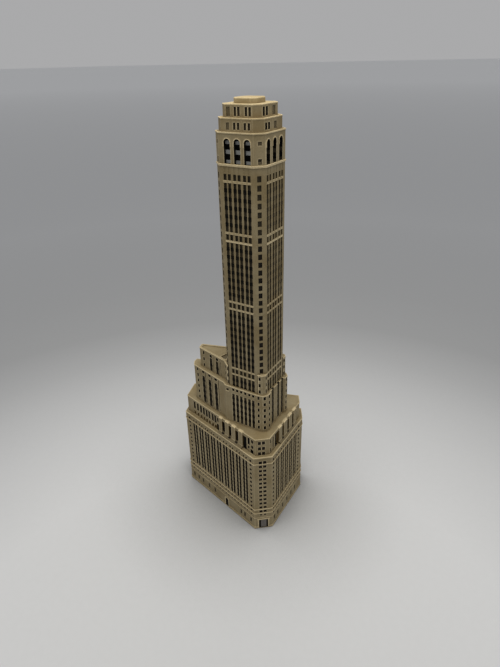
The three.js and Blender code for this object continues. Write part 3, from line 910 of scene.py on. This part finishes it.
# (wall, distances along it, width) of the tall window strips.
WING_STRIPS = (
    (0, (8.0, 13.4, 18.65), 2.3),
    (2, (5.0, 7.4, 9.9, 12.4, 14.9, 17.2), 1.5),
    (WING_RIGHT, (3.1, 9.1, 13.4), 2.0),
    (12, (3.7, 5.8, 8.5, 10.6, 13.3, 15.4), 1.3),
    (14, (5, 7, 11, 13, 17, 19, 23, 25), 1.3),
)


def lower_wing():
    block = Casting(LOWER_WING_OUTLINE, ATTIC_TOP, LOWER_WING_TOP, face=0.15)
    block.course(86.5, LOWER_WING_TOP, 0.15)
    for wall, centres, width in WING_STRIPS:
        for centre in centres:
            strip_top = LOWER_WING_TOP if wall == WING_RIGHT else WING_STRIPS_TOP
            # On the right wall the spandrels are window brown, not black: painted light on that side.
            spandrel = WINDOW if wall == WING_RIGHT else BLACK
            window_strip(block, wall, centre, WING_STRIPS_LOW, strip_top, LOWER_SPANDRELS, tall=1.8,
                         width=width, finishes=(WINDOW, spandrel))
            if wall != WING_RIGHT:
                window(block, wall, centre, WING_TOP_ROW, width=width - 0.15, tall=1.5, finish=BLACK)
    for centre in (9.5, 15.0, 20.7):
        block.cut(0, centre + 0.3, 0.7, 65.3, 85.8, 0.3, SHADED_STONE)
    for wall, centre, width in WING_COLUMNS:
        for row in LOWER_ROWS:
            window(block, wall, centre, row, width=width, tall=2.0, depth=0.45, finish=BLACK)
    window(block, 2, 1.35, 84.5, width=1.5, tall=1.3, finish=BLACK)
    block.build_walls()
    block.add_bar(2, 0.4, 2.3, -0.05, 0.4, 83.3, 83.7)
    block.close(*block.holes(ATTIC_TOP, LOWER_WING_TOP, [WING_DOWEL], UPPER_WING_DOWELS))
    block.finish("lower_wing_stone", "lower_wing")


ROOF_SUNK = [(-32.4, -3.2), (-13.4, -8), (-13.4, 5.1), (-32.6, -0.7)]
# A shallow well by the tower whose shaded floor is painted shadow of the tower on the roof.
ROOF_SHADOW_WELL = [(-17.8, -5.8), (-15.2, -7.1), (-13.9, -6.8), (-13.9, -2.2), (-16.7, -2.2)]


def pit(block, outline, high, low):
    """The walls of a sunk area with this outline. Returns its upper and lower loops."""
    rings = [[block.vertex(x, y, height) for x, y in outline] for height in (high, low)]
    block.skin(*rings, STONE)
    return rings


def upper_wing():
    block = Casting(UPPER_WING_OUTLINE, LOWER_WING_TOP, UPPER_WING_TOP, face=0.1)
    block.course(98.45, UPPER_WING_TOP, 0.1)
    for centre in (9.3, 14.4):
        window_strip(block, 0, centre, 87.3, 95.6, (tower_line(1),), tall=1.7, width=2.1)
        window(block, 0, centre, 96.8, width=1.9, tall=1.8, finish=BLACK)
    for centre in (11.1, 16.1, 17.25):
        block.cut(0, centre, 0.6, 87.3, 96.8, 0.2, SHADED_STONE)
    for wall, centre, width in ((0, 3.3, 1.3), (1, 2.4, 1.2), (2, 0.6, 0.8)):
        for row in UPPER_ROWS:
            window(block, wall, centre, row, width=width, tall=2.0, finish=BLACK)
    for centre in (5, 7, 11, 13, 17, 19):
        window_strip(block, 5, centre, 87.6, 94.9, (tower_line(1),), tall=1.7, width=1.1)
        window(block, 5, centre, 97.1, width=1.1, tall=1.5)
    block.build_walls()
    floor = UPPER_WING_TOP - 0.35
    sunk_top, sunk_floor = pit(block, ROOF_SUNK, UPPER_WING_TOP, floor)
    well_top, well_floor = pit(block, ROOF_SHADOW_WELL, floor, floor - 0.5)
    block.cap([sunk_floor], [well_top])
    # The well's floor is painted in shaded stone: painted shadow.
    block.face_of(well_floor, SHADED_STONE)
    mouths = [block.socket(place, LOWER_WING_TOP, DOWEL_REACH) for place in UPPER_WING_DOWELS]
    block.close(mouths, [sunk_top])
    block.finish("upper_wing_stone", "upper_wing")


def corner_turret(name, node, mirror):
    """A turret at the front (mirror 1) or, mirrored, at the rear (mirror -1)."""
    outline = [(x, y * mirror) for x, y in TURRET_OUTLINE][::mirror]
    block = Casting(outline, LOWER_WING_TOP, UPPER_WING_TOP, face=0.1)
    block.course(98.3, UPPER_WING_TOP, 0.1)
    for wall, side in enumerate(block.walls):
        if 2 < side.length < 3:
            for row in UPPER_ROWS:
                window(block, wall, side.length / 2 - 0.1, row, tall=2.0, finish=BLACK)
    block.build_walls()
    block.close()
    block.finish(name, node)


# ---- tower

# The main faces of an octagon. The walls between them are its cut corners.
TOWER_FRONT, TOWER_RIGHT, TOWER_BACK, TOWER_LEFT = 0, 2, 4, 6
TOWER_FACES = {
    TOWER_FRONT: pairs(3.75, 3, 4.85, 1.1),
    TOWER_RIGHT: pairs(2.4, 3, 5.3, 1.15),
    TOWER_BACK: pairs(3.6, 3, 4.8, 1.05),
    TOWER_LEFT: pairs(3.6, 3, 4.8, 1.05),
}
TOWER_CORNERS = (1, 3, 5, 7)
BAND_LINES = (2, 3, 12, 13, 21, 22, 28)
BAND_HALF = 0.5
TOP_LINE = 28
STRIPS_END = 195.7
CORNER_WINDOW_HALF = 1.25
# Between these rows the corner windows are darker.
DARK_ROWS = range(2, 22)


def tower_shaft(name, node):
    bottom, top = bottom_of(node), top_of(node)
    block = Casting(octagon(TOWER_HALF), bottom, top, face=0.12)
    plain_lines = [tower_line(k) for k in range(TOP_LINE) if k not in BAND_LINES]
    spandrels = [line for line in plain_lines if bottom + 0.3 < line < top - 0.3]
    for wall, centres in TOWER_FACES.items():
        for centre in centres:
            window_strip(block, wall, centre, bottom, min(top, STRIPS_END), spandrels, tall=1.8,
                         width=STRIP if wall == TOWER_RIGHT else 1.45,
                         finishes=LIT_SIDE_STRIP if wall == TOWER_RIGHT else DARK_STRIP)
        middle = (centres[0] + centres[-1]) / 2
        span = centres[-1] - centres[0] + STRIP + 0.8
        # The bands are painted in the lit stone: painted highlight.
        for k in BAND_LINES:
            low, high = max(tower_line(k) - BAND_HALF, bottom), min(tower_line(k) + BAND_HALF, top)
            if high > low:
                block.cut(wall, middle, span, low, high, -block.face, LIT_STONE)
        if top > STRIPS_END:
            for centre in centres:
                block.cut(wall, centre, 0.8, STRIPS_END + 0.5, top - 0.8, 0.1, STONE)
    for wall in TOWER_CORNERS:
        middle = block.walls[wall].length / 2
        for k in range(TOP_LINE + 1):
            low = max(tower_row(k) - CORNER_WINDOW_HALF, bottom + 0.1)
            high = min(tower_row(k) + CORNER_WINDOW_HALF, top - 0.1)
            if high - low > 1:
                block.cut(wall, middle - 0.3, 1.8, low, high, 0.5, DOOR if k in DARK_ROWS else WINDOW)
    if top == SHAFT_TOP:
        block.course(top - 0.45, top, 0.3)
    block.build_walls()
    block.close(*block.holes(bottom, top))
    block.finish(name, node, materials=SHAFT_FINISHES)


ARCHES = {
    TOWER_FRONT: (4.25, 9.15, 14.05),
    TOWER_RIGHT: (2.0, 7.3, 12.8),
    TOWER_BACK: (3.6, 8.45, 13.3),
    TOWER_LEFT: (3.6, 8.45, 13.3),
}
ARCH_HALF = 1.55
ARCH_SILL = 199.9
ARCH_SPRING = 208.2
ARCH_DEPTH = 2.3
PANE_DEPTH = 1.5
DEEP_PANE = 1.9
PANE_ROWS = ((199.9, 201.1), (203.6, 205.2))
HEAD_PANE_LOW, HEAD_PANE_TOP = 207.5, 208.85


def arcade_storey():
    block = Casting(octagon(ARCADE_HALF), SHAFT_TOP, ARCADE_TOP, face=0.2)
    block.course(SHAFT_TOP, 199.8, 0.35)
    block.course(211.7, ARCADE_TOP, 0.2)
    depth = ARCH_DEPTH - block.face
    for wall, centre in spots(ARCHES):
        block.cut_arched(wall, centre, 2 * ARCH_HALF, ARCH_SILL, ARCH_SPRING, ARCH_HALF, depth, BLACK)
        # On the right face the pane rows are cut in window brown, which their reveals take: painted shade
        # on the tan reveals.
        if wall == TOWER_RIGHT:
            for low, high in PANE_ROWS:
                block.cut(wall, centre, 2 * ARCH_HALF, low, high, depth, WINDOW)
    for wall in TOWER_CORNERS:
        window(block, wall, 2.85, 208.3, width=1.7, tall=1.5, depth=0.35, finish=SHADED_STONE)
        window(block, wall, 2.8, 201.3, width=1.6, tall=2.2, depth=0.45)
        window(block, wall, 2.8, 200.8, width=1.6, tall=1.0, depth=0.3, finish=SHADED_STONE)
    block.build_walls()
    for wall, centre in spots(ARCHES):
        block.add_hood(wall, centre, ARCH_HALF + 0.02, ARCH_HALF + 0.35, ARCH_SPRING, 0.0, 0.5, 206.6)
    block.close(*block.holes(SHAFT_TOP, ARCADE_TOP))
    block.finish("arcade_storey_stone", "arcade_storey")


def arcade_panes():
    """Three grey panes in each arch, each a thin block that stands proud of the dark back."""
    block = Casting(octagon(ARCADE_HALF), SHAFT_TOP, ARCADE_TOP)
    half = ARCH_HALF - 0.06
    back = ARCH_DEPTH + 0.1
    for wall, centre in spots(ARCHES):
        front = DEEP_PANE if wall == TOWER_RIGHT else PANE_DEPTH
        start, end = centre - half, centre + half
        for low, high in PANE_ROWS:
            block.add_bar(wall, start, end, front, back, low, high, PANE)
        head = [
            (start, HEAD_PANE_LOW), (end, HEAD_PANE_LOW), (end, ARCH_SPRING),
            (centre + half * 0.75, HEAD_PANE_TOP), (centre - half * 0.75, HEAD_PANE_TOP),
            (start, ARCH_SPRING),
        ]
        block.add_slab(wall, head, front, back, PANE)
    block.finish("arcade_panes", "arcade_glazing_core", "grey_pane", bevel=0)


# ---- crown

# Distances along a face, for the front (also used on the back and the left) and for the right.
LOWER_DRUM = {
    "half": LOWER_DRUM_HALF, "low": 213.1, "high": 215.8,
    "front": {"windows": (6.6, 8.45, 11.6, 13.5), "width": 1.15, "ribs": (9.95, 14.9), "panel": (2.5, 4.1)},
    "right": {"windows": (1.4, 3.8), "width": 1.6, "ribs": (6.5,), "panel": (7.9, 10.2)},
}
UPPER_DRUM = {
    "half": UPPER_DRUM_HALF, "low": 218.1, "high": 221.5,
    "front": {"windows": (5.0, 6.65, 10.2, 11.9), "width": 1.15, "ribs": (3.12, 8.0), "panel": (0.7, 2.6)},
    "right": {"windows": (1.3, 3.8), "width": 1.6, "ribs": (6.6,), "panel": (8.4, 11.0)},
}


def drum(name, node, layout):
    bottom, top = bottom_of(node), top_of(node)
    block = Casting(octagon(layout["half"]), bottom, top, face=0.08)
    block.course(top - 0.5, top, 0.08)
    low, high = layout["low"], layout["high"]
    for wall in TOWER_FACES:
        face, glass = (layout["right"], BLACK) if wall == TOWER_RIGHT else (layout["front"], WINDOW)
        for centre in face["windows"]:
            block.cut(wall, centre, face["width"], low, high, 0.5, glass)
        for centre in face["ribs"]:
            block.cut(wall, centre, 0.5, bottom, top, -block.face, STONE)
        start, end = face["panel"]
        block.cut(wall, (start + end) / 2, end - start, low - 0.2, high, 0.15, SHADED_STONE)
        for centre in (start + 0.5, end - 0.5):
            block.cut(wall, centre, 0.5, low, high - 0.3, 0.3, SHADED_STONE)
    block.build_walls()
    # The end of the tie rod reaches into the lower drum.
    holes = [block.socket((0, 0), bottom, ROD_TOP + 0.5 - bottom, BORE)] if bottom < ROD_TOP else []
    # The top is painted in the lit stone: painted highlight.
    block.close(holes, top=LIT_STONE)
    block.finish(name, node, bevel=DRUM_EDGE)


def roof_cap():
    """A low octagonal cap with soft edges, painted all over in the lit stone as painted highlight."""
    outline = [(x - 0.2, y - 0.1) for x, y in octagon(CAP_HALF, CAP_CUT / CAP_HALF)]
    block = Casting(outline, bottom_of("roof_cap"), 224.2)
    block.course(block.bottom, block.top, 0)
    block.build_walls()
    rings = [(block.even(0.1), 224.45), (block.even(0.35), 224.65)]
    block.close(top_rings=rings, top=LIT_STONE)
    block.finish("roof_cap_stone", "roof_cap", bevel=CAP_EDGE)


# ---- the model

street_storey()
entrance_panel()
front_door()
base_block()
attic_storey()
lower_wing()
upper_wing()
corner_turret("front_turret_stone", "front_corner_turret", 1)
corner_turret("rear_turret_stone", "rear_corner_turret", -1)
for length in ("lower", "middle", "upper"):
    tower_shaft(f"shaft_{length}_stone", f"tower_shaft_{length}")
arcade_storey()
arcade_panes()
drum("crown_lower_stone", "crown_drum_lower", LOWER_DRUM)
drum("crown_upper_stone", "crown_drum_upper", UPPER_DRUM)
roof_cap()

STEEL = painted("zinc_steel", (0.42, 0.42, 0.43), (0.56, 0.56, 0.57), 0.35, metallic=1.0, grain=900.0)
FELT = painted("wool_felt", (0.018, 0.020, 0.017), (0.045, 0.048, 0.042), 0.92, grain=2600.0, relief=0.8)
for name, node in frame["nodes"].items():
    if "tie_rod" in name or "dowel" in name:
        node.data.materials[0] = STEEL
    elif name == "base_felt_pad":
        node.data.materials[0] = FELT

# ---- floor, light and camera

# The middle of the pool of light painted on the floor, and how pale the floor is painted at each distance
# from it, in metres.
LIGHT_CENTRE = (0.06, -0.10, 0.0)
FLOOR_LIGHT_POOL = (
    (0.0, 0.60), (0.14, 0.645), (0.20, 0.58), (0.25, 0.51), (0.29, 0.44), (0.345, 0.375),
    (0.435, 0.38), (0.735, 0.44),
)
FLOOR_SIZE = 40.0


def floor_material():
    """A pale matt floor with a painted pool of light round the model, greyer away from it and painted paler
    again far off, faintly blue, with a painted contact shadow round the model.
    """
    paint = Paint("pale_floor")
    measure = paint.node("ShaderNodeVectorMath", {0: paint.place(), 1: LIGHT_CENTRE})
    measure.operation = "DISTANCE"
    distance = measure.outputs["Value"]
    light_pool_tones = [(reach, (shade * 0.985, shade, shade * 1.02)) for reach, shade in FLOOR_LIGHT_POOL]
    far = {"Value": distance, "From Min": 0.8, "From Max": 6.0, "To Min": 1.0, "To Max": 1.28}
    painted_far_light = paint.node("ShaderNodeMapRange", far).outputs["Result"]
    colour = paint.multiply(paint.ramp(distance, light_pool_tones), painted_far_light)
    colour = paint.multiply(colour, paint.ramp(paint.noise(300.0), tones(grey(0.985), WHITE)))
    # Painted contact shadow: the floor darkens where the model occludes it.
    painted_contact_shadow = paint.ramp(paint.occlusion(0.07), [(0.35, grey(0.45)), (1.0, WHITE)])
    paint.feed(paint.shader, {
        "Base Color": paint.multiply(colour, painted_contact_shadow),
        "Roughness": 0.9,
        "Specular IOR Level": 0.05,
    })
    return paint.material


def floor():
    bm = bmesh.new()
    bmesh.ops.create_grid(bm, x_segments=8, y_segments=8, size=FLOOR_SIZE)
    piece = meshed("floor", bm)
    piece.data.materials.append(floor_material())


def lamp(name, kind, place, power):
    light = bpy.data.lights.new(name, kind)
    light.energy = power
    added(name, light).location = place
    return light


def lights():
    """A very wide soft light straight above, and a round softbox that makes the tower's top brightest."""
    lamp("overhead", "SUN", (0.0, 0.0, 1.0), 0.65).angle = math.radians(120)
    near = lamp("near", "AREA", (0.03, -0.03, 0.42), 0.74)
    near.shape = "DISK"
    near.size = 0.2
    near.color = (1.0, 0.95, 0.84)


def world(colour):
    scene = bpy.context.scene
    scene.world = bpy.data.worlds.new("studio")
    scene.world.use_nodes = True
    background = scene.world.node_tree.nodes["Background"]
    background.inputs["Color"].default_value = (*colour, 1)


def camera(place, lens, turn, tilt, roll):
    """A 36 mm camera. Its turn, tilt and roll are in degrees, and a tilt of 0 looks straight down."""
    data = bpy.data.cameras.new("camera")
    data.sensor_width = 36
    data.lens = lens
    data.clip_start = 0.01
    data.clip_end = 100
    eye = added("camera", data)
    eye.location = place
    facing = Matrix.Identity(3)
    for angle, axis in ((turn, "Z"), (tilt, "X"), (roll, "Z")):
        facing = facing @ Matrix.Rotation(math.radians(angle), 3, axis)
    eye.rotation_euler = facing.to_euler()
    bpy.context.scene.camera = eye


floor()
world((0.40, 0.40, 0.405))
lights()
# From in front of the cut corner, above the top of the tower, looking down.
camera((0.1314, -0.1963, 0.2377), lens=27.02, turn=31.66, tilt=61.36, roll=-1.327)
bpy.context.scene.view_settings.view_transform = "Standard"

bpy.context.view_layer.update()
